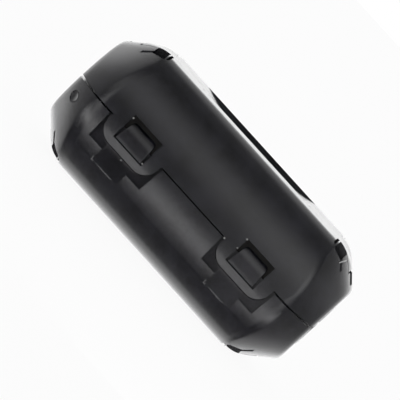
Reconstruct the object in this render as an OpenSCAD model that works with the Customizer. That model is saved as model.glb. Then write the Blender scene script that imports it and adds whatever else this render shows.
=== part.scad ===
// Clip-on ferrite bead for a round cable: a hinged nylon case that holds two
// half cores. X runs along the cable, Z is the direction the case opens in and
// the two latches face -Y. The origin is the middle of the cable bore.
// All sizes are in millimetres.

/* [Case] */
// Length from nose to nose
case_len = 40.3; // [36:0.1:50]
// Depth from the latch face to the hinge face
case_w = 18.8; // [18:0.1:24]
// Height of the closed case
case_h = 18.4; // [17.8:0.1:24]
// Radius of the crowned front and back faces
crown_r = 17; // [14:0.5:40]
// Radius of the four long edges
edge_r = 3.1; // [2:0.1:5]
// Thickness of the moulded wall
wall = 1.3; // [1:0.05:1.6]
// Gap between the rims of the closed halves
split_gap = 0.12; // [0.05:0.01:0.3]

/* [Tapered ends] */
// Diameter of the flat nose at each end
nose_d = 11.8; // [9:0.1:13]
// Angle between the taper and the cable
taper_angle = 42.3; // [35:0.1:50]
// Thickness of the wall that the cable passes at each nose
nose_wall = 1.45; // [1:0.05:2.5]
// Softening of the shoulders above and below
top_shoulder_r = 6; // [3:0.5:9]
// Softening of the shoulders at the front and back
side_shoulder_r = 3; // [1:0.5:6]
// Bevel round the rim of each nose
nose_bevel = 0.3; // [0.1:0.05:0.6]
// How far the halves stand apart at the tips of the noses
nose_gap = 0.36; // [0.2:0.02:0.6]
// Where that gap starts, measured back from the tip
nose_gap_len = 3.6; // [2:0.1:4]

/* [Ferrite core] */
// Outside diameter
core_d = 14.8; // [12:0.1:15]
// Length
core_len = 28.6; // [24:0.1:29]
// Bevel on the ends of the core
core_bevel = 0.4; // [0.2:0.05:0.8]
// Cable bore through the noses and the core
bore_d = 6.6; // [5:0.1:7]
// Clearance between the core and its seat, all round
seat_gap = 0.1; // [0.05:0.01:0.2]
// Clearance at each end of the core
end_gap = 0.2; // [0.1:0.05:0.4]

/* [Inside ribs] */
// Thickness of the saddle ribs that carry the core
rib_t = 0.9; // [0.7:0.05:1.4]
// Centre of the inner pair of saddle ribs
rib_in_x = 4; // [3:0.1:6]
// Centre of each outer rib, measured back from the core's stop
rib_out_back = 1.7; // [1:0.1:3]
// Thickness of the stops at the ends of the core
stop_t = 0.6; // [0.5:0.05:1.2]

/* [Leaf springs] */
// Length of the window in the crown of each half
leaf_len = 18.8; // [14:0.1:20]
// How far that window reaches from the middle towards the latches
leaf_front = 2.1; // [1.5:0.1:3.5]
// How far it reaches towards the hinge
leaf_back = 4.9; // [2.5:0.1:4.9]
// Slit on each side of the leaf
leaf_slit = 0.4; // [0.3:0.05:0.8]
// Thickness of the leaf that bows inward onto the core
leaf_t = 0.75; // [0.5:0.05:1]
// Clearance between the leaf and the core
leaf_gap = 0.02; // [0.01:0.01:0.05]

/* [Shoulder openings] */
// Length of each opening beside a core stop
port_len = 2.15; // [1.5:0.05:3]
// Inner edge of the opening, from the centre plane
port_y0 = 2.8; // [2:0.05:3.5]
// Width of the opening across the shoulder
port_w = 3.45; // [2:0.05:4]
// Length of the opening at its full width
port_full = 1.1; // [0.8:0.05:1.8]
// Radius of its outer corner
port_r = 0.65; // [0.3:0.05:0.75]
// Radius of the corner next to the crown
port_end_r = 0.35; // [0.2:0.05:0.45]
// Width of the bar left standing across the opening
port_bar = 0.18; // [0.14:0.02:0.6]
// Outer edge of the slit that runs on down the taper
port_slit_y = 4.75; // [4:0.05:6]
// Width of that slit
port_slit_w = 0.55; // [0.3:0.05:0.8]
// Length of that slit
port_slit_len = 1; // [0.5:0.1:1.5]

/* [Nose tongues] */
// Length of the springy tongue over each nose before its sides draw in
grip_root = 0.55; // [0.4:0.05:0.8]
// Length over which they draw in
grip_draw = 0.45; // [0.3:0.05:0.7]
// How far each side draws in
grip_in = 0.6; // [0.2:0.05:0.8]
// Where the tongue ends, measured back from the nose
grip_back = 2; // [1.7:0.05:2.4]
// Width of the slits round the tongue
grip_slit = 0.16; // [0.12:0.02:0.3]
// Length of the opening past the tongue's tip
grip_open_len = 1.3; // [0.8:0.05:1.4]
// Width of that opening
grip_open_w = 3; // [1.4:0.1:4]
// Height above the cable's axis at which that opening ends
grip_open_z = 4.7; // [4.4:0.1:5.2]

/* [Latches] */
// Distance of each latch from the middle
latch_x = 9.8; // [8:0.1:10]
// Width of the tongue
latch_w = 8.4; // [7:0.1:9]
// How far the tongue hangs below the split
latch_drop = 2.67; // [2.2:0.01:3.2]
// Corner radius of the tongue
latch_r = 2.1; // [1:0.1:2.4]
// Thickness of the tongue
latch_t = 0.8; // [0.6:0.05:0.9]
// Lip behind the tongue: how far it shows past the edge
lip = 0.24; // [0.1:0.02:0.3]
// Lip thickness
lip_t = 0.22; // [0.15:0.01:0.3]
// Width of the window in the tongue
window_w = 4.63; // [4:0.01:5]
// Bottom of the window below the split
window_low = 1.7; // [1.4:0.01:2]
// Top of the window above the split
window_high = 2.06; // [1.8:0.01:2.6]
// Clearance between the catch and each side of the window
catch_side = 0.235; // [0.1:0.005:0.5]
// Clearance between the catch and the bottom of the window
catch_under = 0.12; // [0.05:0.01:0.3]
// Room above the catch in the window
catch_over = 0.86; // [0.5:0.02:1.2]
// How much the catch narrows towards its top, on each side
catch_lean = 0.24; // [0.05:0.01:0.4]
// Radius of the catch's upper corners
catch_r = 0.45; // [0.2:0.05:0.8]
// How far the catch stays behind the case's face
catch_inset = 0.06; // [0.02:0.01:0.2]
// Slope of the ramp that the tongue rides over when closing
ramp_depth = 0.36; // [0.2:0.02:0.5]
// How far the catch's lower face curves back at its bottom edge
catch_curl = 0.2; // [0.1:0.02:0.3]
// Clearance behind the tongue
latch_gap = 0.1; // [0.05:0.01:0.2]
// Room beside the tongue in its pocket, at the split
pocket_side = 0.4; // [0.2:0.05:0.6]
// Room beside the tongue at the bottom of the pocket
pocket_side_low = 0.2; // [0.15:0.05:0.4]
// Room below the tongue in its pocket
pocket_under = 1.07; // [0.7:0.01:1.5]
// How much deeper the pocket lies than the pad below the catch
pad_step = 0.15; // [0.05:0.01:0.3]
// Thickness of the post that carries the catch
post_t = 0.85; // [0.6:0.05:0.9]

/* [Living hinge] */
// Length of the web
web_len = 24; // [16:0.5:26]
// Thickness of the web
web_t = 0.34; // [0.25:0.01:0.45]
// How far the folded web stands out from the back face
web_out = 0.8; // [0.6:0.05:1.2]

/* [Hidden] */

$fn = 96;
big_fn = 360;
far = 60;

half_len = case_len / 2;
half_w = case_w / 2;
half_h = case_h / 2;
core_r = core_d / 2;
bore_r = bore_d / 2;
nose_r = nose_d / 2;
split = split_gap / 2;
seat_len = core_len / 2 + end_gap;
inner_nose = half_len - nose_wall;
slope = tan(taper_angle);

// planes behind the latch face, measured from the bore
tongue_back = half_w - latch_t;
pad_y = tongue_back - latch_gap;
pocket_y = pad_y - pad_step;
catch_y = half_w - catch_inset;

// the catch stands in the tongue's window, and the pocket surrounds the tongue
catch_w = window_w - 2 * catch_side;
catch_top_w = catch_w - 2 * catch_lean;
catch_low = window_low - catch_under;
catch_high = window_high - catch_over;
pocket_w = latch_w + 2 * pocket_side;
pocket_low_w = latch_w + 2 * pocket_side_low;
pocket_drop = latch_drop + pocket_under;

// the leaf bows until its middle reaches the core
leaf_dip = half_h - core_r - leaf_t - leaf_gap;
leaf_r = (pow(leaf_len / 2, 2) + leaf_dip * leaf_dip) / (2 * leaf_dip);
leaf_w = leaf_back + leaf_front - 2 * leaf_slit;
leaf_y = (leaf_back - leaf_front) / 2;

rib_out_x = seat_len - rib_out_back;

port_x0 = core_len / 2 + 0.05;
port_x1 = port_x0 + port_len;
bar_x = seat_len + stop_t / 2;

// centre of an edge arc of the section, and the reach of that edge
edge_z = half_h - edge_r;
edge_y = half_w - crown_r + sqrt(pow(crown_r - edge_r, 2) - edge_z * edge_z);
edge_reach = sqrt(pow(edge_y, 2) + edge_z * edge_z) + edge_r;

// ---- outlines and helpers ------------------------------------------------

// an outline in Y and Z, run along the cable
module along_x(len) {
    rotate([90, 0, 90]) linear_extrude(height = len, center = true) children();
}

// an outline in X and Z, run from front to back
module along_y(len) {
    rotate([90, 0, 0]) linear_extrude(height = len, center = true) children();
}

// an outline in X and Z, run between two distances in front of the bore
module in_front(near, out) {
    translate([0, -near, 0]) rotate([90, 0, 0])
        linear_extrude(height = out - near) children();
}

// an outline turned about the cable; its X is the radius
module turned() {
    rotate([0, 90, 0]) rotate_extrude($fn = 144) children();
}

module both_ends() {
    children();
    mirror([1, 0, 0]) children();
}

module both_sides() {
    children();
    mirror([0, 1, 0]) children();
}

// a box from its lowest to its highest corner
module span(low, high) {
    translate(low) cube(high - low);
}

// a rectangle that is given the same way
module patch(low, high) {
    translate(low) square(high - low);
}

// a hanging tab: square on top, round at its lower corners
module hanging(w, low, high, r) {
    patch([-w / 2, r - low], [w / 2, high]);
    patch([r - w / 2, -low], [w / 2 - r, r - low]);
    for (s = [-1, 1]) translate([s * (w / 2 - r), r - low]) circle(r);
}

// ---- outside form --------------------------------------------------------

// section across the cable: flat above and below, crowned at the front and
// back, with edge arcs that meet both without a corner
module section(inset) {
    big = crown_r - inset;
    cy = edge_y;
    r = edge_r - inset;
    w = half_w - inset;
    square([2 * cy, 2 * (half_h - inset)], center = true);
    intersection() {
        translate([w - big, 0]) circle(big, $fn = big_fn);
        translate([big - w, 0]) circle(big, $fn = big_fn);
        square([far, 2 * edge_z * big / (big - r)], center = true);
    }
    for (sy = [-1, 1], sz = [-1, 1]) translate([sy * cy, sz * edge_z]) circle(r);
}

// what a rounded shoulder takes away, as distance along the cable and reach
// from it. The arc starts at a slight angle just above the face, and runs out
// straight before it reaches the taper's own angle, so that every surface it
// meets is crossed cleanly
module shoulder(reach, r) {
    top = reach + r * (1 - cos(7));
    a = taper_angle - 10;
    cx = half_len - (top - nose_r) / slope - r * tan(taper_angle / 2);
    cz = top - r;
    x1 = cx + r * sin(a);
    z1 = cz + r * cos(a);
    x2 = half_len + 2;
    difference() {
        polygon([[cx, cz], [cx, top + 3], [x2, top + 3],
                 [x2, z1 - (x2 - x1) * tan(a)], [x1, z1]]);
        translate([cx, cz]) circle(r);
    }
}

// both tapers and their noses, turned
module barrel() {
    top = edge_reach + 1;
    x1 = half_len - (top - nose_r) / slope;
    b = nose_bevel * 0.6;
    turned() polygon([[0, -half_len], [nose_r - nose_bevel, -half_len],
                      [nose_r + slope * b, b - half_len], [top, -x1], [top, x1],
                      [nose_r + slope * b, half_len - b],
                      [nose_r - nose_bevel, half_len], [0, half_len]]);
}

module outer() {
    difference() {
        intersection() {
            along_x(case_len + 4) section(0);
            barrel();
        }
        both_ends() {
            for (s = [0, 1]) mirror([0, 0, s]) along_y(far)
                shoulder(half_h, top_shoulder_r);
            for (s = [0, 1]) mirror([0, s, 0])
                linear_extrude(height = far, center = true)
                    shoulder(half_w, side_shoulder_r);
        }
    }
}

// ---- inside --------------------------------------------------------------

// the tapers again, one wall further in
module inner_barrel() {
    tip = nose_r - wall / cos(taper_angle);
    top = edge_reach - wall;
    cx = half_len - (top - tip) / slope;
    turned() polygon([[0, -half_len], [tip, -half_len], [top, -cx], [top, cx],
                      [tip, half_len], [0, half_len]]);
}

// room between the ribs, as lengths along the cable
module bays() {
    a = rib_in_x - rib_t / 2;
    span([-a, -far, -far], [a, far, far]);
    both_ends() {
        span([rib_in_x + rib_t / 2, -far, -far],
             [rib_out_x - rib_t / 2, far, far]);
        span([rib_out_x + rib_t / 2, -far, -far], [seat_len, far, far]);
        span([seat_len + stop_t, -far, -far], [inner_nose, far, far]);
    }
}

// solid plastic kept behind each tongue's pocket
module latch_block() {
    for (s = [-1, 1])
        span([s * latch_x - pocket_w / 2 - 0.5, -far, -pocket_drop - 0.9],
             [s * latch_x + pocket_w / 2 + 0.5, -core_r / 2, far / 2]);
}

// the leaf, bowed about a centre above the upper half
module leaf() {
    cz = half_h - leaf_dip + leaf_r;
    translate([0, leaf_y, 0]) along_y(leaf_w) intersection() {
        difference() {
            translate([0, cz]) circle(leaf_r + leaf_t, $fn = big_fn);
            translate([0, cz]) circle(leaf_r, $fn = big_fn);
        }
        patch([-leaf_len / 2 - 0.6, core_r / 2], [leaf_len / 2 + 0.6, half_h + 1]);
    }
}

// plan of an opening beside a core stop: its outer side leans in from a rounded
// corner, which it crosses at a slight angle, to the slit that runs on down the
// taper
module port_plan() {
    y1 = port_y0 + port_w;
    c = [port_x0 + port_full - port_r, y1 - port_r];
    away = [port_x1, port_slit_y] - c;
    lean = atan2(away.y, away.x) + acos(port_r / norm(away)) - 5;
    e = port_end_r;
    patch([port_x0, port_y0], [c.x, y1 - e]);
    patch([port_x0 + e, port_y0], [c.x, y1]);
    translate([port_x0 + e, y1 - e]) circle(e, $fn = 48);
    intersection() {
        translate(c) circle(port_r, $fn = 48);
        patch([c.x, port_y0], [port_x1, far]);
    }
    polygon([c, [c.x, port_y0], [port_x1, port_y0], [port_x1, port_slit_y],
             c + port_r * [cos(lean), sin(lean)]]);
}

module ports() {
    both_ends() both_sides() {
        translate([0, 0, core_r - 0.9]) linear_extrude(height = far) difference() {
            port_plan();
            patch([bar_x - port_bar / 2, 0], [bar_x + port_bar / 2, far]);
        }
        span([port_x1 - 0.1, port_slit_y - port_slit_w, bore_r],
             [port_x1 + port_slit_len, port_slit_y, far]);
    }
}

// the slits that free the tongue over each nose, and the opening past its tip
module grips() {
    tip = half_len - grip_back;
    tip_y = port_y0 - grip_in - 0.05;
    side = [[port_x1 - 0.1, port_y0],
            [port_x1 + grip_root, port_y0 - grip_in * 0.3],
            [port_x1 + grip_root + grip_draw, port_y0 - grip_in],
            [tip + grip_slit, tip_y]];
    both_ends() translate([0, 0, grip_open_z]) linear_extrude(height = far) {
        for (s = [-1, 1])
            polygon(concat([for (i = [0:3]) [side[i].x, s * side[i].y]],
                           [for (i = [3:-1:0]) [side[i].x, s * (side[i].y + grip_slit)]]));
        patch([tip, -tip_y - grip_slit], [tip + grip_slit, tip_y + grip_slit]);
        patch([tip, -grip_open_w / 2], [tip + grip_open_len, grip_open_w / 2]);
    }
}

// everything that is hollow in the upper half; the lower half turns it over
module hollow(blocked) {
    difference() {
        union() {
            difference() {
                intersection() {
                    along_x(case_len) section(wall);
                    inner_barrel();
                    bays();
                }
                if (blocked) mirror([0, 0, 1]) latch_block();
            }
            rotate([0, 90, 0])
                cylinder(h = 2 * seat_len, r = core_r + seat_gap, center = true);
            span([-leaf_len / 2, -leaf_front, core_r / 2],
                 [leaf_len / 2, leaf_back, far]);
            ports();
            grips();
        }
        leaf();
    }
    rotate([0, 90, 0]) cylinder(h = case_len + 2, r = bore_r, center = true);
    nose_relief();
}

// the noses' rims stand back a little, more towards the tips
module nose_relief() {
    x0 = half_len - nose_gap_len;
    both_ends() along_y(far)
        polygon([[x0, -1], [x0, split],
                 [half_len, nose_gap / 2], [half_len + 1, nose_gap / 2],
                 [half_len + 1, -1]]);
}

// ---- pieces --------------------------------------------------------------

// front view of the catch: it narrows towards its rounded top
module catch_outline() {
    t = catch_top_w / 2;
    shoulder_z = catch_high - catch_r;
    polygon([[-catch_w / 2, -catch_low], [catch_w / 2, -catch_low],
             [t, shoulder_z], [t - catch_r, shoulder_z],
             [t - catch_r, catch_high], [catch_r - t, catch_high],
             [catch_r - t, shoulder_z], [-t, shoulder_z]]);
    for (s = [-1, 1])
        translate([s * (t - catch_r), shoulder_z]) circle(catch_r, $fn = 48);
}

// the catch on its post: a ramp above, a flat that holds the tongue, and a
// lower face that curls back to the bottom edge
module catch() {
    in_front(pad_y - post_t, pad_y) {
        catch_outline();
        patch([-catch_w / 2, -pocket_drop], [catch_w / 2, -catch_low]);
    }
    mid = pad_y - post_t / 2;
    intersection() {
        in_front(mid, half_w) catch_outline();
        along_x(catch_w + 1)
            polygon([[-mid, -catch_low], [catch_curl - catch_y, -catch_low],
                     [catch_curl * 0.4 - catch_y, 0.14 - catch_low],
                     [-catch_y, 0.6 - catch_low], [-catch_y, -0.1],
                     [ramp_depth * 0.55 - catch_y, catch_high / 2],
                     [ramp_depth - catch_y, catch_high - 0.15],
                     [ramp_depth + 0.17 - catch_y, catch_high], [-mid, catch_high]]);
    }
}

module lower_shell() {
    color([0.13, 0.13, 0.14]) union() {
        difference() {
            intersection() {
                outer();
                span([-far, -far, -far], [far, far, -split]);
            }
            mirror([0, 0, 1]) hollow(true);
            for (s = [-1, 1]) translate([s * latch_x, 0, 0]) {
                in_front(pocket_y, far)
                    polygon([[-pocket_w / 2, 0], [pocket_w / 2, 0],
                             [pocket_low_w / 2, -pocket_drop],
                             [-pocket_low_w / 2, -pocket_drop]]);
                in_front(pad_y, far)
                    patch([-catch_w / 2, -half_h], [catch_w / 2, 0]);
            }
        }
        for (s = [-1, 1]) translate([s * latch_x, 0, 0]) catch();
    }
}

module upper_shell() {
    color([0.16, 0.16, 0.17]) difference() {
        intersection() {
            outer();
            span([-far, -far, split], [far, far, far]);
        }
        hollow(false);
        for (s = [-1, 1]) translate([s * latch_x, 0, 0]) {
            in_front(tongue_back, far)
                patch([-latch_w / 2, 0], [latch_w / 2, window_high]);
            in_front(core_r / 2, far)
                patch([-window_w / 2, 0], [window_w / 2, window_high]);
        }
    }
}

// a tongue of the upper half, with a window that drops over the catch
module latch(s) {
    color([0.22, 0.22, 0.24]) difference() {
        intersection() {
            outer();
            translate([s * latch_x, 0, 0]) {
                in_front(tongue_back + lip_t, far)
                    hanging(latch_w, latch_drop, window_high, latch_r);
                in_front(tongue_back, tongue_back + lip_t + 0.05) {
                    hanging(latch_w + lip, latch_drop + lip, -split - 0.1,
                            latch_r + lip);
                    patch([-latch_w / 2, -1], [latch_w / 2, window_high]);
                }
            }
        }
        translate([s * latch_x, 0, 0]) in_front(core_r / 2, far)
            patch([-window_w / 2, -window_low], [window_w / 2, window_high + 1]);
    }
}

module left_latch() {
    latch(-1);
}

module right_latch() {
    latch(1);
}

// the thin web, folded double at the back
module living_hinge() {
    web_r = web_t + split;
    cy = half_w + web_out - web_r;
    color([0.25, 0.25, 0.27]) difference() {
        along_x(web_len) difference() {
            union() {
                patch([half_w - 0.3, -web_r], [cy, web_r]);
                translate([cy, 0]) circle(web_r);
            }
            patch([half_w - 1, -split], [cy, split]);
            translate([cy, 0]) circle(split, $fn = 24);
        }
        outer();
    }
}

module core() {
    b = core_bevel;
    turned() polygon([[bore_r, -core_len / 2], [core_r - b, -core_len / 2],
                      [core_r, b - core_len / 2], [core_r, core_len / 2 - b],
                      [core_r - b, core_len / 2], [bore_r, core_len / 2]]);
}

module lower_core() {
    color([0.33, 0.33, 0.35]) intersection() {
        core();
        span([-far, -far, -far], [far, far, 0]);
    }
}

module upper_core() {
    color([0.33, 0.33, 0.35]) intersection() {
        core();
        span([-far, -far, 0], [far, far, far]);
    }
}

lower_shell();
upper_shell();
left_latch();
right_latch();
living_hinge();
lower_core();
upper_core();
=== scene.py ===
from math import atan2, cos, hypot, pi, radians, sin, sqrt, tan

import bmesh
import bpy
from mathutils import Matrix, Vector
from mathutils.bvhtree import BVHTree
from mathutils.interpolate import poly_3d_calc


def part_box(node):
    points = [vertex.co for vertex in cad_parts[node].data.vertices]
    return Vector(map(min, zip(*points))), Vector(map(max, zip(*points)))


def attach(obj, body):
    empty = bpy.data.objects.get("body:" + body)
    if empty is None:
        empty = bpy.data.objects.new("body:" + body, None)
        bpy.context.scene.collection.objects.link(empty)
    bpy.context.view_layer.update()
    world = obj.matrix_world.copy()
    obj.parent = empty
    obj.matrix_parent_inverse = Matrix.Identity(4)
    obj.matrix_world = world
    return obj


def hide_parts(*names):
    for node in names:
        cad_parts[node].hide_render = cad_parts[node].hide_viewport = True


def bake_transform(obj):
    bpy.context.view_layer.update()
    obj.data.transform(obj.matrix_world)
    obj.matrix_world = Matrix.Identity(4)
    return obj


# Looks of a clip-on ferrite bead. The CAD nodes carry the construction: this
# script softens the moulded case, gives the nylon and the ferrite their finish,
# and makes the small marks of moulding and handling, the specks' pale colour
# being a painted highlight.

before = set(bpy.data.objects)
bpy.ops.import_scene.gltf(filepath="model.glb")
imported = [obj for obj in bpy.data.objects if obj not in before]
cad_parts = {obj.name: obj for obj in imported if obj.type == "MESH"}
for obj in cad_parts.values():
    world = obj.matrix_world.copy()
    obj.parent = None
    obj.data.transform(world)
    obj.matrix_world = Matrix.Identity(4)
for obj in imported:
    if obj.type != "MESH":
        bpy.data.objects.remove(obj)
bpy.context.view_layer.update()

MM = 0.001
LATCH_SIDES = {"left_latch": -1, "right_latch": 1}

# ---- sizes, in millimetres -------------------------------------------------
# X runs along the cable, Y to the back and Z up. A value that differs from side
# to side has one entry for the left (-1) and one for the right (1).

shell_low, shell_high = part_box("lower_shell")
HALF_LEN = shell_high.x / MM
HALF_W = -shell_low.y / MM
HALF_H = -shell_low.z / MM

SPLIT = 0.06              # half the gap between the halves
CROWN_R = 17.0            # crowned front and back faces
EDGE_R = 3.1              # long edges
NOSE_R = 5.9              # flat nose at each end
TAPER = radians(42.3)     # angle of the tapered ends

SKIN = 0.02               # how far the soft form lies inside the sharp one
CREASES = {-1: (3.0, 2.1), 1: (1.9, 1.3)}    # softening from front to taper: lower and upper half
CREASE_CHANGE = 6         # how quickly the one changes to the other across the split
TOP_CREASE_R = 6.0        # softening from the top or the bottom to a taper
NOSE_CREASE_R = 1.3       # softening round the nose's rim
BULGE = {-1: 8, 1: 3.5}   # how far a taper's shading turns towards its rims, in degrees
BULGE_RUN = 0.1           # share of the taper over which that turn fades out at its rims
FACE_STEPS, CREASE_STEPS, TAPER_STEPS, RIM_STEPS = 8, 12, 10, 8    # of the soft form, along the cable

LATCH_X = 9.8             # distance of each latch from the middle
PAD_Y = 8.5               # front of the post behind each catch
OUT_Y = -HALF_W - 1       # clear of the front: where the cutters start
ROOT_Y = 0.3 - PAD_Y      # inside the post: where a catch or a land ends
LEDGE_ROOT_Y = 0.2 - PAD_Y    # and where a ledge ends

CATCH_Y = 9.34            # front of the catch
CATCH_LOW, CATCH_TOP = -1.6, 1.29
CATCH_HALF, CATCH_TOP_HALF = 2.08, 1.84    # half width at its bottom and at its top
CATCH_CORNER = 0.45       # rounding of the catch's upper corners
CATCH_EDGE, CATCH_BROW = 0.12, 0.3    # softening of its side edges and of its top edge
CATCH_LEAN, LEAN_Z = 0.17, -0.26    # how fast its face leans back, above this height
CATCH_CURL, CURL_Z = 0.6, -1.25     # how fast it curls in, below this height
CATCH_SHIFT, CATCH_STRETCH = {-1: 0.08, 1: 0.02}, {-1: 1.035, 1: 1.03}    # as each one came out
CATCH_CLEAR = 2.3         # half width that is cleared for the new catch
WELL_Y, WELL_TOP = -7.3, 3.2    # deep well above each catch

WINDOW_HALF, WINDOW_LOW, WINDOW_TOP = 2.315, -1.7, 2.06    # the window in each tongue
WINDOW_GROWTH = {-1: (0.0, 0.2), 1: (0.05, 0.1)}    # how much wider it came out, to its left and right
WINDOW_BACK = -6          # clear of the tongue's back
LIP, LIP_BACK = 0.12, -8.7    # lip over each window: height, and how deep it reaches
LIP_LEFT, LIP_RIGHT = 2.4, 2.5    # how far it runs to either side of the latch's middle

PAD_HALF = 2.08           # half width of the pad below each catch
PAD_LOW = -5.42           # lower edge of the pad, where it runs out into the crown
LEDGE_Z, LEDGE_H, LEDGE_D = -3.12, 0.13, 0.012    # shallow ledge across the pad
LAND_W, LAND_TOP = 0.26, -2.6    # sloping land on the pad's left: width and top
LAND = (0.04, 5.5)        # its depth at the pad's lower edge, and its slope in degrees
CORNER_FACET = (0.03, 11)    # depth and slope of the softened corner
EDGE_FACET = (0.023, 12)     # and of the softened lower edge
CORNER_OUT = 0.12         # how far the corner's cutter starts to the left of the pad
EDGE_INSET = (0.35, 0.2)  # how far the edge's cutter stays inside the pad, left and right
FACET_REACH = 0.4         # how far both cutters run above and below the edge
OVERLAP = 0.02            # of pieces and cutters that meet

RECESS_D = 0.05           # depth behind the crown from which a face lies in a recess
PAD_REACH = 3.5           # height over which a pad is looked for, above and below its lower edge
FRONT_Y = -6              # behind this a face belongs to the inside

TONGUE_HALF, TONGUE_LOW, TONGUE_R = 4.2, -2.67, 2.1    # outline of each tongue's face
TIP_START, TIP_FALL = -1.6, 0.035    # below this height the face falls back, by this slope
LIP_FRONT = -8.87         # front of the lip that shows round each tongue
LIP_SLOPE = 0.115         # how fast that lip falls back towards its rim
# groove round the tongue: width at its sides and at the tongue's end, and depth
GROOVE_SIDE, GROOVE_END, GROOVE_D = 0.075, 0.165, 0.24
GROOVE_TOP = -0.1         # where it runs out on the tongue's sides

HINGE_Y = 10.2            # axis of the living hinge
WEB_LEN, WEB_T = 24.0, 0.34    # its web's length and thickness
WEB_ROOT = 9.35           # where the web's two leaves start

# where the halves' front edges stand open along the cable, and half the gap there
GAPES = ((-20.4, -12.3, 0.12), (-5.5, 5.35, 0.085), (12.45, 16.9, 0.12))
GAPE_Y = -7.5             # how deep the gap is open
NOSE_FILLER = ((-19.55, -1.6, 4.65), (-18.05, -0.8, HALF_H))    # narrows the left nose's opening

MARK_AT = (-18.8, -6.75, -2.22)    # dished mark of the mould's gate, on the left taper
MARK_R = 0.8
STRAND = ((16.62, -5.05, 7.56), (16.80, -4.15, 7.97), (16.96, -3.2, 8.20))    # flash over a slit
STRAND_R = 0.1

# specks of flash on the tongues' edges, their pale colour a painted highlight:
# distance along the cable, height and size
SPECKS = {
    "left_latch": ((-12.03, 1.51, 0.11), (-7.4, -1.35, 0.1), (-9.4, -2.95, 0.06)),
    "right_latch": ((5.52, -0.05, 0.11), (7.43, 1.82, 0.12), (7.40, 0.30, 0.07)),
}
SPECK_SEED = 7


# ---- mesh helpers ----------------------------------------------------------

def new_piece(name, data):
    piece = bpy.data.objects.new(name, data)
    bpy.context.scene.collection.objects.link(piece)
    return piece


def outward(mesh):
    """Turn every face of a closed mesh outwards."""
    bm = bmesh.new()
    bm.from_mesh(mesh)
    bmesh.ops.recalc_face_normals(bm, faces=bm.faces)
    bm.to_mesh(mesh)
    bm.free()


def closed_mesh(name, verts, faces):
    """A closed mesh from points in millimetres."""
    mesh = bpy.data.meshes.new(name)
    mesh.from_pydata([[c * MM for c in v] for v in verts], [], faces)
    outward(mesh)
    return mesh


def ring_faces(rings, count):
    """Faces that join each ring of `count` points to the next one."""
    faces = []
    for i in range(rings - 1):
        for j in range(count):
            k = (j + 1) % count
            faces.append((i * count + j, i * count + k, (i + 1) * count + k, (i + 1) * count + j))
    return faces


def from_rings(name, rings):
    """A closed mesh from rings of equal count, capped by a point at each end."""
    count = len(rings[0])
    verts = [v for ring in rings for v in ring]
    faces = ring_faces(len(rings), count)
    for ring, start in ((rings[0], 0), (rings[-1], (len(rings) - 1) * count)):
        middle = sum((Vector(v) for v in ring), Vector()) / count
        verts.append(middle[:])
        for j in range(count):
            k = (j + 1) % count
            pair = (start + k, start + j) if start == 0 else (start + j, start + k)
            faces.append(pair + (len(verts) - 1,))
    return closed_mesh(name, verts, faces)


def merged_copy(node):
    """A CAD node's mesh with its loose triangles joined into one surface."""
    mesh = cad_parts[node].data.copy()
    bm = bmesh.new()
    bm.from_mesh(mesh)
    bmesh.ops.remove_doubles(bm, verts=bm.verts, dist=1e-7)
    bmesh.ops.dissolve_degenerate(bm, edges=bm.edges, dist=1e-8)
    bm.to_mesh(mesh)
    bm.free()
    mesh.materials.clear()
    return mesh


def boolean(piece, tool, operation):
    """Cut a tool away from the piece, join it on, or keep only what lies inside it."""
    cut = piece.modifiers.new("cut", "BOOLEAN")
    cut.operation = operation
    cut.solver = "MANIFOLD"
    cut.object = tool


def applied(piece):
    """The piece's mesh with its modifiers applied."""
    graph = bpy.context.evaluated_depsgraph_get()
    return bpy.data.meshes.new_from_object(piece.evaluated_get(graph))


def worked(piece, tools):
    """The piece after every tool has been cut away or joined on."""
    for tool, operation in tools:
        boolean(piece, tool, operation)
    mesh = applied(piece)
    mesh.name = piece.name
    mesh.materials.clear()
    for tool, _ in tools:
        bpy.data.objects.remove(tool)
    bpy.data.objects.remove(piece)
    return new_piece(mesh.name, mesh)


def block(low, high):
    """A plain box to cut with or to fill with."""
    bm = bmesh.new()
    bmesh.ops.create_cube(bm, size=1)
    for v in bm.verts:
        v.co = [(a if c < 0 else b) * MM for a, b, c in zip(low, high, v.co)]
    mesh = bpy.data.meshes.new("block")
    bm.to_mesh(mesh)
    bm.free()
    return new_piece("block", mesh)


def smooth_shade(mesh, degrees):
    for face in mesh.polygons:
        face.use_smooth = True
    mesh.set_sharp_from_angle(angle=radians(degrees))


def eased(t):
    t = min(max(t, 0), 1)
    return t * t * (3 - 2 * t)


# ---- the case's soft form --------------------------------------------------

# the section: centres of the crown's arc and of an edge's arc, and the two
# angles round the cable between which the edge's arc lies
EDGE_Z = HALF_H - EDGE_R
CROWN_Y = HALF_W - CROWN_R
EDGE_Y = CROWN_Y + sqrt((CROWN_R - EDGE_R) ** 2 - EDGE_Z ** 2)
CROWN_TURN = atan2(EDGE_Z, EDGE_Y - CROWN_Y)
EDGE_START = atan2(CROWN_R * sin(CROWN_TURN), CROWN_Y + CROWN_R * cos(CROWN_TURN))
EDGE_END = atan2(HALF_H, EDGE_Y)


def crown_y(z):
    """The front face at one height."""
    return -(CROWN_Y + sqrt(CROWN_R ** 2 - z * z))


def ray_to_arc(angle, cy, cz, r):
    """How far a ray from the cable's axis runs before it leaves a circle."""
    along = cy * cos(angle) + cz * sin(angle)
    return along + sqrt(along * along - cy * cy - cz * cz + r * r)


def section_reach(angle):
    """Distance from the cable's axis to the section's outline."""
    a = atan2(abs(sin(angle)), abs(cos(angle)))
    if a < EDGE_START:
        return ray_to_arc(a, CROWN_Y, 0, CROWN_R)
    if a < EDGE_END:
        return ray_to_arc(a, EDGE_Y, EDGE_Z, EDGE_R)
    return HALF_H / sin(a)


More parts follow.
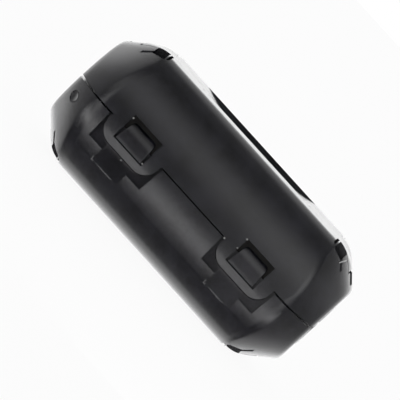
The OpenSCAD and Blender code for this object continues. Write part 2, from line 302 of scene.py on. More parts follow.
def crease_radius(angle, side):
    """Softening between the section and a taper, widest at the top and the bottom."""
    lower, upper = CREASES[side]
    front = lower + (upper - lower) * eased(0.5 + CREASE_CHANGE * sin(angle))
    a = atan2(abs(sin(angle)), abs(cos(angle)))
    return front + (TOP_CREASE_R - front) * eased((a - EDGE_END) / (pi / 2 - EDGE_END))


def profile(angle, side):
    """Half outline along the cable at one angle: from the middle to the nose."""
    reach = section_reach(angle) - SKIN
    r = crease_radius(angle, side)
    nose, end = NOSE_R - SKIN, HALF_LEN - SKIN
    start = end - (reach - nose) / tan(TAPER) - r * tan(TAPER / 2)
    points = [(start * i / FACE_STEPS, reach) for i in range(FACE_STEPS)]
    for i in range(CREASE_STEPS + 1):
        t = TAPER * i / CREASE_STEPS
        points.append((start + r * sin(t), reach - r + r * cos(t)))
    # the taper, then the nose's rim between it and the flat end
    turn = pi / 2 - TAPER
    back = NOSE_CREASE_R * tan(turn / 2)
    x0, r0 = points[-1]
    x1, r1 = end - back * cos(TAPER), nose + back * sin(TAPER)
    for i in range(1, TAPER_STEPS):
        points.append((x0 + (x1 - x0) * i / TAPER_STEPS, r0 + (r1 - r0) * i / TAPER_STEPS))
    cx, cr = end - NOSE_CREASE_R, nose - back
    for i in range(RIM_STEPS + 1):
        t = TAPER + turn * i / RIM_STEPS
        points.append((cx + NOSE_CREASE_R * sin(t), cr + NOSE_CREASE_R * cos(t)))
    points.append((end, nose * 0.5))
    return points


def ring_angles():
    """Angles round the cable, closer together where the section turns."""
    quarter = []
    for low, high, steps in ((0, EDGE_START, 36), (EDGE_START, EDGE_END, 24), (EDGE_END, pi / 2, 18)):
        quarter += [low + (high - low) * i / steps for i in range(steps)]
    quarter += [pi / 2]
    half = quarter + [pi - a for a in reversed(quarter[:-1])]
    return half + [-a for a in reversed(half[1:-1])]


def soft_form():
    """The whole outside of the closed case, with every crease softened."""
    angles = ring_angles()
    rings = []
    for side in (-1, 1):
        profiles = [profile(a, side) for a in angles]
        # from the left nose to the middle, then on to the right nose
        stations = range(len(profiles[0]))
        for i in reversed(stations) if side < 0 else stations[1:]:
            rings.append([(side * p[i][0], -p[i][1] * cos(a), p[i][1] * sin(a))
                          for p, a in zip(profiles, angles)])
    piece = new_piece("soft_form", from_rings("soft_form", rings))
    smooth_shade(piece.data, 60)
    return piece


def bulged_normals(form):
    """The form's normals, with the tapers shaded as slightly bulging faces."""
    normals = []
    for v in form.vertices:
        n = v.normal.copy()
        x, y, z = v.co / MM
        reach = section_reach(atan2(z, -y)) - SKIN
        t = (reach - hypot(y, z)) / (reach - NOSE_R)    # 0 at the taper's outer rim, 1 at the nose
        tilt = radians(BULGE[-1 if x < 0 else 1]) * (2 * t - 1)
        tilt = tilt * eased(t / BULGE_RUN) * eased((1 - t) / BULGE_RUN)
        flat = hypot(n.y, n.z)
        if flat > 0.01:
            turned = atan2(abs(n.x), flat) + tilt
            scale = cos(turned) / flat
            n = Vector(((1 if n.x > 0 else -1) * sin(turned), n.y * scale, n.z * scale))
        normals.append(n)
    return normals


def borrow_normals(mesh, form, reach=0.003, turn=20, crisp=28):
    """Give the faces that lie on the soft form the form's own smooth normals.

    Such a face lies within `reach` mm of the form and is turned by less than
    `turn` degrees from it."""
    points = [v.co for v in form.vertices]
    normals = bulged_normals(form)
    tree = BVHTree.FromPolygons(points, [p.vertices[:] for p in form.polygons])
    found = {}

    def at(co):
        key = co.to_tuple(8)
        if key not in found:
            spot, _, index, gap = tree.find_nearest(co)
            if gap > reach * MM:
                found[key] = None
            else:
                corners = form.polygons[index].vertices[:]
                weights = poly_3d_calc([points[c] for c in corners], spot)
                normal = sum((normals[c] * w for c, w in zip(corners, weights)), Vector())
                found[key] = normal.normalized()
        return found[key]

    faces = mesh.polygons
    skin, around = [], [[] for _ in mesh.vertices]
    for face in faces:
        here = [at(mesh.vertices[i].co) for i in face.vertices]
        on_skin = None not in here and all(n.angle(face.normal) < radians(turn) for n in here)
        skin.append(here if on_skin else None)
        for i in face.vertices:
            around[i].append(face.index)
    # faces off the skin share a normal only where they meet at a shallow angle
    flat = [face.normal.copy() for face in faces]
    near = cos(radians(crisp))
    loops = [None] * len(mesh.loops)
    for face in faces:
        for k, loop in enumerate(face.loop_indices):
            if skin[face.index]:
                loops[loop] = skin[face.index][k][:]
                continue
            normal = Vector()
            for other in around[face.vertices[k]]:
                if skin[other] is None and flat[other].dot(flat[face.index]) > near:
                    normal += flat[other] * faces[other].area
            loops[loop] = normal.normalized()[:] if normal.length > 0 else flat[face.index][:]
    mesh.normals_split_custom_set(loops)


# ---- catches, pads and openings --------------------------------------------

def catch_width(z):
    """Half width of the catch at one height."""
    shoulder = CATCH_TOP - CATCH_CORNER
    if z > shoulder:
        return CATCH_TOP_HALF - CATCH_CORNER + sqrt(max(CATCH_CORNER ** 2 - (z - shoulder) ** 2, 0))
    t = (z - CATCH_LOW) / (shoulder - CATCH_LOW)
    return CATCH_HALF + (CATCH_TOP_HALF - CATCH_HALF) * t


def catch_top(x):
    """Height of the catch's outline at one distance from its middle."""
    over = abs(x) - (CATCH_TOP_HALF - CATCH_CORNER)
    drop = CATCH_CORNER - sqrt(max(CATCH_CORNER ** 2 - max(over, 0) ** 2, 0))
    return CATCH_TOP - drop


def rounded(gap, r):
    """How far a rounded edge has fallen back at one distance from the outline."""
    return r - sqrt(r * r - (r - gap) ** 2) if gap < r else 0


def catch_setback(x, z):
    """How far the catch's face has fallen back at one place."""
    lean = CATCH_LEAN * max(z - LEAN_Z, 0) ** 2 + CATCH_CURL * max(CURL_Z - z, 0) ** 2
    side = rounded(catch_width(z) - abs(x), CATCH_EDGE)
    brow = rounded(max(catch_top(x) - z, 0), CATCH_BROW)
    return lean + max(side, brow, rounded(z - CATCH_LOW, CATCH_EDGE))


def catch_form(middle, stretch):
    """One catch: a cushion that leans back above and curls in at its bottom edge."""
    near = [0, 0.006, 0.024, 0.054, 0.09, 0.13]    # closer together where an edge turns
    # rows up the curled edge, the face and the brow
    heights = [CATCH_LOW + d for d in near]
    heights += [CATCH_LOW + 0.2 + (CATCH_TOP - CATCH_LOW - 0.55) * i / 20 for i in range(20)]
    heights += [CATCH_TOP - CATCH_BROW * (1 - sin(pi / 2 * i / 9)) for i in range(10)]
    rows = []
    for z in heights:
        w = catch_width(z)
        half = [w - d for d in near] + [w * (0.9 - 0.15 * i) for i in range(6)]
        row = [-x for x in half] + [0] + list(reversed(half))
        rows.append([(x * stretch + middle, -CATCH_Y + catch_setback(x, z), z) for x in row])
    wide, tall = len(rows[0]), len(rows)
    verts = [v for row in rows for v in row]
    faces = [(i * wide + j, i * wide + j + 1, (i + 1) * wide + j + 1, (i + 1) * wide + j)
             for i in range(tall - 1) for j in range(wide - 1)]
    # its sides run straight back into the post, from the rim of the face
    rim = list(range(wide)) + [i * wide + wide - 1 for i in range(1, tall)]
    rim += [(tall - 1) * wide + j for j in range(wide - 2, -1, -1)]
    rim += [i * wide for i in range(tall - 2, 0, -1)]
    start, count = len(verts), len(rim)
    verts += [(verts[i][0], ROOT_Y, verts[i][2]) for i in rim]
    for k in range(count):
        after = (k + 1) % count
        faces.append((rim[k], rim[after], start + after, start + k))
    faces.append(tuple(range(start, start + count)))
    return new_piece("catch_form", closed_mesh("catch_form", verts, faces))


def pad_slope(depth, tilt, z):
    """Y of a plane that lies `depth` inside the pad at its lower edge and tilts out above."""
    return -PAD_Y + depth - tan(radians(tilt)) * (z - PAD_LOW)


def facet(x0, x1, depth, tilt, taper=0.0):
    """A cutter that takes a thin sliver off the pad's lower edge.

    With a taper of 1 the sliver runs out to nothing at both ends."""
    low, high = PAD_LOW - FACET_REACH, PAD_LOW + FACET_REACH
    rings = []
    for i in range(9):
        t = i / 8
        x = x0 + (x1 - x0) * t
        back = taper * depth * (2 * t - 1) ** 2
        rings.append([(x, pad_slope(depth, tilt, low) - back, low),
                      (x, pad_slope(depth, tilt, high) - back, high),
                      (x, OUT_Y, high), (x, OUT_Y, low)])
    return new_piece("facet", from_rings("facet", rings))


def land(x0, x1, depth, tilt):
    """The narrow sloping land along the left side of a pad."""
    low, high = PAD_LOW - 0.1, LAND_TOP
    front = [(pad_slope(depth, tilt, z), z) for z in (low, high)]
    section = front + [(ROOT_Y, high), (ROOT_Y, low)]
    rings = [[(x, y, z) for y, z in section] for x in (x0, x1)]
    return new_piece("land", from_rings("land", rings))


def ledge(x0, x1):
    """A shallow ledge across a pad, below the tongue's end."""
    low, high = LEDGE_Z - LEDGE_H / 2, LEDGE_Z + LEDGE_H / 2
    section = [(-PAD_Y, low), (-PAD_Y - LEDGE_D, high), (LEDGE_ROOT_Y, high), (LEDGE_ROOT_Y, low)]
    rings = [[(x, y, z) for y, z in section] for x in (x0, x1)]
    return new_piece("ledge", from_rings("ledge", rings))


def with_catches(shell):
    """The lower half with its two catches and the pads below them made anew."""
    tools = []
    for side in (-1, 1):
        x = side * LATCH_X
        left, right = x - CATCH_CLEAR, x + CATCH_CLEAR
        tools.append((block((left, OUT_Y, CATCH_LOW - 0.05), (right, -PAD_Y - 0.002, CATCH_TOP + 0.1)),
                      "DIFFERENCE"))
        tools.append((block((left, OUT_Y, CATCH_TOP - OVERLAP), (right, WELL_Y, WELL_TOP)), "DIFFERENCE"))
        tools.append((catch_form(x + CATCH_SHIFT[side], CATCH_STRETCH[side]), "UNION"))
        # the pad: a sloping land on its left, a ledge, and a softened lower edge
        left, right = x - PAD_HALF, x + PAD_HALF
        tools.append((land(left, left + LAND_W, *LAND), "UNION"))
        tools.append((ledge(left + LAND_W - OVERLAP, right), "UNION"))
        tools.append((facet(left - CORNER_OUT, left + LAND_W + OVERLAP, *CORNER_FACET), "DIFFERENCE"))
        left, right = left + EDGE_INSET[0], right - EDGE_INSET[1]
        tools.append((facet(left, right, *EDGE_FACET, taper=1.0), "DIFFERENCE"))
    return worked(shell, tools)


def lip_groove(x):
    """Cutter for the groove round the edge of a tongue: down one side and up the other.

    Each ring is a wedge whose point lies at the groove's bottom."""
    flat, turn_z = TONGUE_HALF - TONGUE_R, TONGUE_LOW + TONGUE_R
    path = [(-1, 0, -flat, GROOVE_TOP)]
    for centre, first in ((-flat, 180), (flat, 270)):
        for degrees in range(first, first + 91, 9):
            path.append((cos(radians(degrees)), sin(radians(degrees)), centre, turn_z))
    path.append((1, 0, flat, GROOVE_TOP))
    rings = []
    for nx, nz, mid_x, mid_z in path:
        width = GROOVE_SIDE - (GROOVE_END - GROOVE_SIDE) * nz
        wedge = ((-OVERLAP, -0.03), (width, -0.03), (0.4 * width, GROOVE_D))
        rings.append([(x + mid_x + nx * (TONGUE_R + out), LIP_FRONT + deep, mid_z + nz * (TONGUE_R + out))
                      for out, deep in wedge])
    return new_piece("lip_groove", from_rings("lip_groove", rings))


def with_open_window(tongue, side):
    """A tongue with its window a little wider and the groove round its edge."""
    x = side * LATCH_X
    near, far = x - WINDOW_HALF, x + WINDOW_HALF
    left, right = WINDOW_GROWTH[side]
    cutters = [block((near - left, OUT_Y, WINDOW_LOW), (near + 1, WINDOW_BACK, WINDOW_TOP)),
               block((far - 1, OUT_Y, WINDOW_LOW), (far + right, WINDOW_BACK, WINDOW_TOP)),
               lip_groove(x)]
    return worked(tongue, [(cutter, "DIFFERENCE") for cutter in cutters])


def with_lips(shell):
    """The upper half with its left nose's opening narrowed and a lip over each window."""
    corners = [NOSE_FILLER]
    for x in (-LATCH_X, LATCH_X):
        corners.append(((x - LIP_LEFT, OUT_Y, WINDOW_TOP - LIP), (x + LIP_RIGHT, LIP_BACK, WINDOW_TOP + 0.2)))
    return worked(shell, [(block(low, high), "UNION") for low, high in corners])


def with_gapes(shell):
    """A half whose front edge stands open along parts of the split."""
    cutters = [block((start, OUT_Y, -gape), (end, GAPE_Y, gape)) for start, end, gape in GAPES]
    return worked(shell, [(cutter, "DIFFERENCE") for cutter in cutters])


def droop_tongue(mesh, side):
    """Let a tongue's face fall back towards its free end, and its lip towards the rim."""
    for v in mesh.vertices:
        # the lip is the only face at this depth
        if abs(v.co.y / MM - LIP_FRONT) < 0.004:
            along = max(abs(v.co.x / MM - side * LATCH_X) - TONGUE_HALF + TONGUE_R, 0)
            down = max(TONGUE_LOW + TONGUE_R - v.co.z / MM, 0)
            reach = max(hypot(along, down), 0.01)
            groove = GROOVE_SIDE + (GROOVE_END - GROOVE_SIDE) * down / reach
            v.co.y += LIP_SLOPE * max(reach - TONGUE_R - groove, 0) * MM
        # below the window only the tongue's front stands this far out
        below = TIP_START - v.co.z / MM
        if below > 0 and v.co.y / MM < -PAD_Y - 0.5:
            v.co.y += TIP_FALL * below * MM


def gate_mark(form):
    """Cutter for a dished disc with a fine groove round it, turned about the skin's own normal."""
    tree = BVHTree.FromObject(form, bpy.context.evaluated_depsgraph_get())
    spot, normal, _, _ = tree.find_nearest(Vector(MARK_AT) * MM)
    side = normal.orthogonal().normalized()
    axes = Matrix((side, normal.cross(side), normal)).transposed().to_4x4()
    axes = Matrix.Translation(spot / MM) @ axes
    r, steps = MARK_R, 48
    # from the middle: the dish, the groove and a cylinder that clears the skin
    outline = [(0.02, -0.12), (0.3 * r, -0.112), (0.55 * r, -0.09), (0.75 * r, -0.055),
               (0.80 * r, -0.055), (0.84 * r, -0.12), (0.93 * r, -0.12), (r, 0.0), (r, 0.4), (0.02, 0.4)]
    rings = []
    for radius, height in outline:
        angles = [2 * pi * i / steps for i in range(steps)]
        rings.append([(axes @ Vector((radius * cos(a), radius * sin(a), height)))[:] for a in angles])
    return new_piece("gate_mark", from_rings("gate_mark", rings))


def softened(node, form):
    """A CAD node with this case's own details, cut back to the soft form."""
    piece = new_piece(node + "_rough", merged_copy(node))
    if node in LATCH_SIDES:
        piece = with_open_window(piece, LATCH_SIDES[node])
    if node == "lower_shell":
        piece = worked(with_catches(piece), [(gate_mark(form), "DIFFERENCE")])
    if node == "upper_shell":
        piece = with_lips(piece)
    if node in ("lower_shell", "upper_shell"):
        piece = with_gapes(piece)
    boolean(piece, form, "INTERSECT")
    mesh = applied(piece)
    mesh.name = node + "_soft"
    mesh.materials.clear()
    bpy.data.objects.remove(piece)
    smooth_shade(mesh, 28)
    borrow_normals(mesh, form.data)
    return new_piece(node + "_soft", mesh)


# ---- hinge web and flash ---------------------------------------------------

def hinge_web():
    """The folded web: two leaves and the round fold that joins them."""
    centre = HINGE_Y - SPLIT - WEB_T
    leaf = (WEB_ROOT, WEB_ROOT + 0.25)

    def outline(r):
        turns = [-pi / 2 + pi * i / 16 for i in range(17)]
        arc = [(centre + r * cos(a), r * sin(a)) for a in turns]
        return [(y, -r) for y in leaf] + arc + [(y, r) for y in reversed(leaf)]

    section = outline(SPLIT + WEB_T) + list(reversed(outline(SPLIT)))
    half = WEB_LEN / 2
    # sections along the cable, closer together at the web's ends
    stations = [-half, -half + 0.06, -half + 0.15]
    stations += [half * i / 12 for i in range(-11, 12)]
    stations += [half - 0.15, half - 0.06, half]
    count = len(section)
    verts = [(x, y, z) for x in stations for y, z in section]
    faces = ring_faces(len(stations), count)
    # the two ends, closed between the outer and the inner line
    for start in (0, (len(stations) - 1) * count):
        faces += [(start + j, start + j + 1, start + count - 2 - j, start + count - 1 - j)
                  for j in range(count // 2 - 1)]
    mesh = closed_mesh("hinge_web", verts, faces)
    smooth_shade(mesh, 40)
    return new_piece("hinge_web", mesh)


def tube(name, points, radii, steps=16):
    """A round strand through a few points, closed at both ends."""
    rings = []
    for i, (centre, r) in enumerate(zip(points, radii)):
        ahead = (points[min(i + 1, len(points) - 1)] - points[max(i - 1, 0)]).normalized()
        side = ahead.orthogonal().normalized()
        up = ahead.cross(side)
        angles = [2 * pi * k / steps for k in range(steps)]
        rings.append([(centre + r * (cos(a) * side + sin(a) * up))[:] for a in angles])
    piece = new_piece(name, from_rings(name, rings))
    smooth_shade(piece.data, 60)
    return piece


def flash_strand():
    """A whisker of flash: a bow through three points, thin at both ends."""
    a, b, c = (Vector(p) for p in STRAND)
    points, radii = [], []
    for i in range(13):
        t = i / 12
        points.append(a * (1 - t) ** 2 + (4 * b - a - c) / 2 * 2 * t * (1 - t) + c * t * t)
        radii.append(STRAND_R * max(sin(pi * (0.08 + 0.84 * t)), 0.1) ** 0.6)
    return tube("flash_strand", points, radii)


# ---- material helpers ------------------------------------------------------

def node_material(name):
    material = bpy.data.materials.new(name)
    material.use_nodes = True
    return material, material.node_tree


def add(tree, kind, **values):
    """A node with its settings, or the constants of its sockets, by name."""
    node = tree.nodes.new(kind)
    for key, value in values.items():
        if hasattr(node, key):
            setattr(node, key, value)
        else:
            node.inputs[key].default_value = value
    return node


def in_place(tree, kind, **values):
    """A texture that sits still on its piece."""
    texture = add(tree, kind, **values)
    tree.links.new(add(tree, "ShaderNodeTexCoord").outputs["Object"], texture.inputs["Vector"])
    return texture.outputs


def combine(tree, operation, *values):
    """A sum or product of constants and other nodes' values."""
    node = add(tree, "ShaderNodeMath", operation=operation)
    for socket, value in zip(node.inputs, values):
        if isinstance(value, (int, float)):
            socket.default_value = value
        else:
            tree.links.new(value, socket)
    return node.outputs["Value"]


def mapped(tree, value, source, result, shape="LINEAR"):
    """A value moved from one range to another."""
    node = add(tree, "ShaderNodeMapRange", interpolation_type=shape)
    for label, end in zip(("From Min", "From Max", "To Min", "To Max"), (*source, *result)):
        node.inputs[label].default_value = end
    tree.links.new(value, node.inputs["Value"])
    return node.outputs["Result"]


def toned(tree, value, dark, light):
    """A colour between a dark and a light one."""
    tone = add(tree, "ShaderNodeValToRGB")
    tone.color_ramp.elements[0].color = (*dark, 1)
    tone.color_ramp.elements[1].color = (*light, 1)
    tree.links.new(value, tone.inputs["Fac"])
    return tone.outputs["Color"]


def mixed(tree, share, first, second):
    """A share of the second shader laid over the first."""
    mix = add(tree, "ShaderNodeMixShader")
    for socket, value in zip(mix.inputs, (share, first, second)):
        tree.links.new(value, socket)
    return mix.outputs["Shader"]


def surface(tree, colour, roughness, height, strength, distance, shine=0.5):
    """Lead a colour, a roughness and a bump into the material's shader."""
    shader = tree.nodes["Principled BSDF"]
    bump = add(tree, "ShaderNodeBump", Strength=strength, Distance=distance)
    tree.links.new(height, bump.inputs["Height"])
    tree.links.new(colour, shader.inputs["Base Color"])
    tree.links.new(roughness, shader.inputs["Roughness"])
    tree.links.new(bump.outputs["Normal"], shader.inputs["Normal"])
    shader.inputs["Specular IOR Level"].default_value = shine


# ---- materials -------------------------------------------------------------

def moulded_nylon(name, roughness, grain_depth, shine):
    """Black nylon from a spark-eroded mould: a fine, even grain."""
    material, tree = node_material(name)
    grain = in_place(tree, "ShaderNodeTexNoise", Scale=9000, Detail=3, Roughness=0.6)["Fac"]
    cloud = in_place(tree, "ShaderNodeTexNoise", Scale=350, Detail=4, Roughness=0.6)["Fac"]
    mottle = in_place(tree, "ShaderNodeTexNoise", Scale=3800, Detail=4, Roughness=0.7)["Fac"]
    shade = mapped(tree, combine(tree, "ADD", cloud, mottle), (0.8, 1.2), (0, 1))
    # both colours lean a little to blue: a painted tint that stands in for the bluish light the face reflects
    colour = toned(tree, shade, (0.0004, 0.0004, 0.0016), (0.0096, 0.0096, 0.0138))
    surface(tree, colour, mapped(tree, cloud, (0, 1), roughness), grain, grain_depth, 0.00003, shine)
    return material


def sintered_ferrite():
    """Dark ferrite: a sintered, lightly ground surface with fine pores, coloured darker than its own grey as
    painted shade.
    """
    material, tree = node_material("sintered_ferrite")
    cloud = in_place(tree, "ShaderNodeTexNoise", Scale=600, Detail=5, Roughness=0.65)["Fac"]
    pores = in_place(tree, "ShaderNodeTexVoronoi", Scale=3500)["Distance"]
    # partly the ferrite's own dark grey, partly painted shade: taken darker so the space behind each window
    # reads as shadowed
    colour = toned(tree, cloud, (0.0075, 0.0068, 0.0060), (0.0160, 0.0148, 0.0135))
    surface(tree, colour, mapped(tree, cloud, (0, 1), (0.62, 0.8)), pores, 0.35, 0.00004, 0.48)
    return material


def whitening_and_glint_nylon():
    """Pale nylon: real stress whitening on the flash strand, and a painted highlight on the specks."""
    material, tree = node_material("whitening_and_glint_nylon")
    cloud = in_place(tree, "ShaderNodeTexNoise", Scale=9000, Detail=3)["Fac"]
    # pale colour: a painted highlight where it makes the specks, stress whitening where it makes the strand
    colour = toned(tree, cloud, (0.30, 0.30, 0.30), (0.55, 0.55, 0.54))
    surface(tree, colour, mapped(tree, cloud, (0, 1), (0.45, 0.6)), cloud, 0.4, 0.00002)
    return material


# ---- specks of flash, pale as a painted highlight --------------------------

def speck_tree():
    """Put one uneven speck on every vertex, each scaled a little differently."""
    tree = bpy.data.node_groups.new("flash_specks", "GeometryNodeTree")
    link = tree.links.new
    sockets = {}
    for label, kind, way in (("Spots", "NodeSocketGeometry", "INPUT"),
                             ("Speck Size", "NodeSocketFloat", "INPUT"),
                             ("Seed", "NodeSocketInt", "INPUT"),
                             ("Finish", "NodeSocketMaterial", "INPUT"),
                             ("Specks", "NodeSocketGeometry", "OUTPUT")):
        sockets[label] = tree.interface.new_socket(label, in_out=way, socket_type=kind).identifier
    start, end = add(tree, "NodeGroupInput"), add(tree, "NodeGroupOutput")
    ball = add(tree, "GeometryNodeMeshIcoSphere", Subdivisions=3)
    link(start.outputs["Speck Size"], ball.inputs["Radius"])
    # dents in the ball
    noise = add(tree, "ShaderNodeTexNoise", Scale=14000, Detail=1)
    centred = add(tree, "ShaderNodeVectorMath", operation="SUBTRACT")
    centred.inputs[1].default_value = (0.5, 0.5, 0.5)
    link(noise.outputs["Color"], centred.inputs[0])
    scaled = add(tree, "ShaderNodeVectorMath", operation="SCALE")
    link(centred.outputs["Vector"], scaled.inputs[0])
    link(start.outputs["Speck Size"], scaled.inputs["Scale"])
    dents = add(tree, "GeometryNodeSetPosition")
    link(ball.outputs["Mesh"], dents.inputs["Geometry"])
    link(scaled.outputs["Vector"], dents.inputs["Offset"])
    # each copy has its own proportions, and the size of its spot
    spread = add(tree, "FunctionNodeRandomValue", data_type="FLOAT_VECTOR")
    spread.inputs["Min"].default_value = (0.7, 0.5, 0.7)
    spread.inputs["Max"].default_value = (1.3, 0.9, 1.3)
    link(start.outputs["Seed"], spread.inputs["Seed"])
    size = add(tree, "GeometryNodeInputNamedAttribute", data_type="FLOAT", Name="size")
    grown = add(tree, "ShaderNodeVectorMath", operation="SCALE")
    link(spread.outputs["Value"], grown.inputs[0])
    link(size.outputs["Attribute"], grown.inputs["Scale"])
    copies = add(tree, "GeometryNodeInstanceOnPoints")
    link(start.outputs["Spots"], copies.inputs["Points"])
    link(dents.outputs["Geometry"], copies.inputs["Instance"])
    link(grown.outputs["Vector"], copies.inputs["Scale"])
    real = add(tree, "GeometryNodeRealizeInstances")
    link(copies.outputs["Instances"], real.inputs["Geometry"])
    finish = add(tree, "GeometryNodeSetMaterial")
    link(real.outputs["Geometry"], finish.inputs["Geometry"])
    link(start.outputs["Finish"], finish.inputs["Material"])
    link(finish.outputs["Geometry"], end.inputs["Specks"])
    return tree, sockets


def specks(name, spots, finish):
    """Specks at spots on the front face, given as distance along the cable, height and size."""
    tree, sockets = speck_tree()
    mesh = bpy.data.meshes.new(name)
    mesh.from_pydata([(x * MM, crown_y(z) * MM, z * MM) for x, z, _ in spots], [], [])
    sizes = mesh.attributes.new("size", "FLOAT", "POINT")
    for item, (_, _, r) in zip(sizes.data, spots):
        item.value = r
    piece = new_piece(name + "_spots", mesh)
    grow = piece.modifiers.new("specks", "NODES")
    grow.node_group = tree
    grow[sockets["Speck Size"]] = MM
    grow[sockets["Seed"]] = SPECK_SEED
    grow[sockets["Finish"]] = finish
    grown = applied(piece)
    bpy.data.objects.remove(piece)
    outward(grown)
    for face in grown.polygons:
        face.use_smooth = True
    return new_piece(name, grown)


# ---- pieces ----------------------------------------------------------------

nylon = moulded_nylon("moulded_nylon", (0.22, 0.29), 0.4, 0.5)
shut_off = moulded_nylon("shut_off_nylon", (0.19, 0.26), 0.15, 0.45)    # where two mould halves met
ferrite = sintered_ferrite()
pale = whitening_and_glint_nylon()


def in_recess(face):
    """Whether a face of the lower half looks forward from the pads or from round the catches."""
    x, y, z = face.center / MM
    catch = abs(abs(x) - LATCH_X) < CATCH_CLEAR and z > CATCH_LOW - 0.1
    pad = abs(y + PAD_Y) < 0.01 and abs(z - PAD_LOW) < PAD_REACH
    forward = face.normal.y < -0.9 and y < FRONT_Y
    return forward and not catch and (pad or y - crown_y(z) > RECESS_D)


def bend(piece):
    """Bake a piece's placement into its mesh; nothing here lets it flex."""
    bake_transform(piece)


form = soft_form()
for node, body in (("lower_shell", "base"), ("upper_shell", "lid")):
    shell = softened(node, form)
    shell.data.materials.append(nylon)
    shell.data.materials.append(shut_off)
    # the recesses round each catch were shut off in the mould, so they are smoother
    if node == "lower_shell":
        for face in shell.data.polygons:
            if in_recess(face):
                face.material_index = 1
    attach(shell, body)
    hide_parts(node)

for node, side in LATCH_SIDES.items():
    tongue = softened(node, form)
    droop_tongue(tongue.data, side)
    tongue.data.materials.append(nylon)
    bend(tongue)
    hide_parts(node)
    # pale specks on the tongue: tiny real bumps of flash, their pale colour a painted highlight
    flecks = specks(node + "_specks", SPECKS[node], pale)
    bend(flecks)
bpy.data.objects.remove(form)

web = hinge_web()
web.data.materials.append(nylon)
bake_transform(web)
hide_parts("living_hinge")

whisker = flash_strand()
whisker.data.materials.append(pale)
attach(whisker, "lid")

for node in ("lower_core", "upper_core"):
    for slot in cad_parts[node].material_slots:
        slot.material = ferrite


# ---- camera, light and floor -----------------------------------------------

# The camera looks at the latch face from a little above and to the right, and
# is rolled so that the cable's axis runs steeply down across the picture.
PIXELS_PER_MM = 8.44
FRAME_PX = 400
CAMERA_AZIMUTH = radians(2.2)
CAMERA_ELEVATION = radians(6.0)
CAMERA_ROLL = radians(47.57)
CENTRE_OFFSET = (-0.057, -0.155)    # of the view's centre, along the cable and across it, in mm
LENS = 560.0
SENSOR = 36.0

# The studio's lights. Each has a strength and the directions that it fills, as
# bands of X, Y and Z: from, to and the softness of both ends.
FRONT, BEHIND = (-2, -0.35, 0.2), (0.3, 2, 0.25)
STUDIO = {
    "low box": (6.1, {"Y": FRONT, "Z": (-0.485, -0.375, 0.05)}),
    "high box": (0.98, {"Y": FRONT, "Z": (0.2, 0.56, 0.08)}),
    "high box's right end": (0.5, {"X": (0.2, 2, 0.18), "Y": FRONT, "Z": (0.2, 0.56, 0.08)}),
    "left box": (1.9, {"X": (-0.62, -0.32, 0.1), "Y": FRONT, "Z": (-0.32, 0.16, 0.08)}),
    "right box": (1.0, {"X": (0.32, 0.6, 0.1), "Y": FRONT, "Z": (-0.3, 0.2, 0.08)}),
    "sweep behind": (1.3, {"Y": BEHIND, "Z": (-2, 0.45, 0.14)}),
    "sweep's middle": (0.7, {"X": (-0.4, 0.4, 0.2), "Y": BEHIND}),
    "sweep over the table": (1.1, {"X": (-0.4, 0.4, 0.2), "Y": BEHIND, "Z": (-2, -0.4, 0.15)}),
    "sweep's left end": (0.95, {"X": (-2, -0.62, 0.12), "Y": (0.24, 2, 0.12), "Z": (-0.75, 0.5, 0.15)}),
    "sides": (0.4, {"Y": (-0.1, 0.35, 0.15), "Z": (-0.5, 0.5, 0.1)}),
    "left": (0.22, {"X": (-2, -0.7, 0.15)}),
    "right": (0.1, {"X": (0.7, 2, 0.15)}),
    "top": (0.25, {"Z": (0.75, 2, 0.15)}),
}
CARD = (-0.6, {"X": (-2, -0.4, 0.15), "Z": (-0.8, -0.58, 0.1)})    # a dark card, low on the left
BELOW = (3.3, {"Z": (-2, -0.92, 0.12)})    # light from under the table
BASE_LIGHT = 0.14
PANEL, PANEL_SIZE, PANEL_AT = 0.68, (0.12, 0.1), (0.066, -0.1, 0.021)    # strength, then metres
FLOOR_R, FLOOR_GAP = 0.6, 0.00002    # in metres: its radius, and how far it lies below the case
FLOOR_WHITE = 0.93        # share of plain white in the floor that the camera sees


def make_camera():
    """A long lens, far enough away to give the picture its scale."""
    a, e = CAMERA_AZIMUTH, CAMERA_ELEVATION
    along = Vector((cos(a), sin(a), 0))
    across = Vector((-sin(a) * sin(e), cos(a) * sin(e), cos(e)))
    back = along.cross(across)
    right = cos(CAMERA_ROLL) * along + sin(CAMERA_ROLL) * across
    up = -sin(CAMERA_ROLL) * along + cos(CAMERA_ROLL) * across
    width = FRAME_PX / PIXELS_PER_MM * MM
    distance = width / 2 / (SENSOR / 2 / LENS)
    target = (CENTRE_OFFSET[0] * along + CENTRE_OFFSET[1] * across) * MM
    data = bpy.data.cameras.new("camera")
    data.lens = LENS
    data.sensor_width = SENSOR
    data.clip_start, data.clip_end = distance * 0.1, distance * 10
    camera = new_piece("camera", data)
    axes = Matrix((right, up, back)).transposed()
    camera.matrix_world = Matrix.Translation(target + back * distance) @ axes.to_4x4()
    bpy.context.scene.camera = camera


def band(tree, value, low, high, edge):
    """1 where a value lies between low and high, with soft ends."""
    up = mapped(tree, value, (low - edge, low + edge), (0, 1), "SMOOTHSTEP")
    down = mapped(tree, value, (high + edge, high - edge), (0, 1), "SMOOTHSTEP")
    return combine(tree, "MULTIPLY", up, down)


def filled(tree, way, bands):
    """1 for the directions that lie in all of a light's bands."""
    share = 1
    for axis, ends in bands.items():
        share = combine(tree, "MULTIPLY", band(tree, way.outputs[axis], *ends), share)
    return share


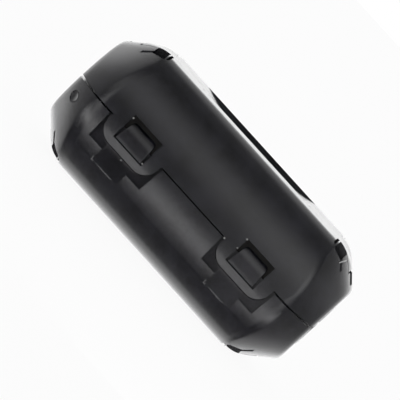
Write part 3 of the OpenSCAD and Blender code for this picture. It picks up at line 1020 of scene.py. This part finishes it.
def make_world():
    """A studio: soft boxes in front, a white sweep behind and a card low on the left."""
    world = bpy.data.worlds.new("studio")
    world.use_nodes = True
    world.cycles.sampling_method = "NONE"
    tree = world.node_tree
    link = tree.links.new
    way = add(tree, "ShaderNodeSeparateXYZ")
    link(add(tree, "ShaderNodeTexCoord").outputs["Generated"], way.inputs["Vector"])
    total = BASE_LIGHT
    for strength, bands in STUDIO.values():
        total = combine(tree, "MULTIPLY_ADD", filled(tree, way, bands), strength, total)
    hidden = combine(tree, "MULTIPLY_ADD", filled(tree, way, CARD[1]), CARD[0], 1)
    total = combine(tree, "MULTIPLY", total, hidden)
    total = combine(tree, "MULTIPLY_ADD", filled(tree, way, BELOW[1]), BELOW[0], total)
    light = tree.nodes["Background"]
    light.inputs["Color"].default_value = (1, 1, 1, 1)
    link(total, light.inputs["Strength"])
    # the camera itself sees plain white
    white = add(tree, "ShaderNodeBackground", Color=(1, 1, 1, 1), Strength=1.0)
    camera_ray = add(tree, "ShaderNodeLightPath").outputs["Is Camera Ray"]
    seen = mixed(tree, camera_ray, light.outputs["Background"], white.outputs["Background"])
    link(seen, tree.nodes["World Output"].inputs["Surface"])
    bpy.context.scene.world = world


def make_panel():
    """A near panel on the right, which lifts the right part of the front face."""
    data = bpy.data.lights.new("panel", "AREA")
    data.shape = "RECTANGLE"
    data.size, data.size_y = PANEL_SIZE
    data.energy = PANEL * pi * PANEL_SIZE[0] * PANEL_SIZE[1]
    data.use_shadow = False
    panel = new_piece("panel", data)
    panel.location = PANEL_AT
    panel.rotation_euler = (pi / 2, 0, 0)
    panel.visible_camera = False


def pale_floor():
    """A white floor: plain for the camera, but it keeps the part's shadow."""
    material, tree = node_material("pale_floor")
    shader = tree.nodes["Principled BSDF"]
    shader.inputs["Base Color"].default_value = (0.82, 0.82, 0.82, 1)
    shader.inputs["Roughness"].default_value = 0.8
    glow = add(tree, "ShaderNodeEmission", Strength=1.0)
    path = add(tree, "ShaderNodeLightPath")
    share = combine(tree, "MULTIPLY", path.outputs["Is Camera Ray"], FLOOR_WHITE)
    seen = mixed(tree, share, shader.outputs["BSDF"], glow.outputs["Emission"])
    # reflections see the studio's own light through the floor
    through = add(tree, "ShaderNodeBsdfTransparent")
    look = mixed(tree, path.outputs["Is Glossy Ray"], seen, through.outputs["BSDF"])
    tree.links.new(look, tree.nodes["Material Output"].inputs["Surface"])
    return material


def make_floor():
    """A round floor just under the case."""
    bm = bmesh.new()
    bmesh.ops.create_circle(bm, cap_ends=True, radius=FLOOR_R, segments=96)
    bmesh.ops.translate(bm, verts=bm.verts, vec=(0, 0, shell_low.z - FLOOR_GAP))
    mesh = bpy.data.meshes.new("floor")
    bm.to_mesh(mesh)
    bm.free()
    floor = new_piece("floor", mesh)
    mesh.materials.append(pale_floor())


make_camera()
make_world()
make_panel()
make_floor()

bpy.context.scene.view_settings.view_transform = "Standard"
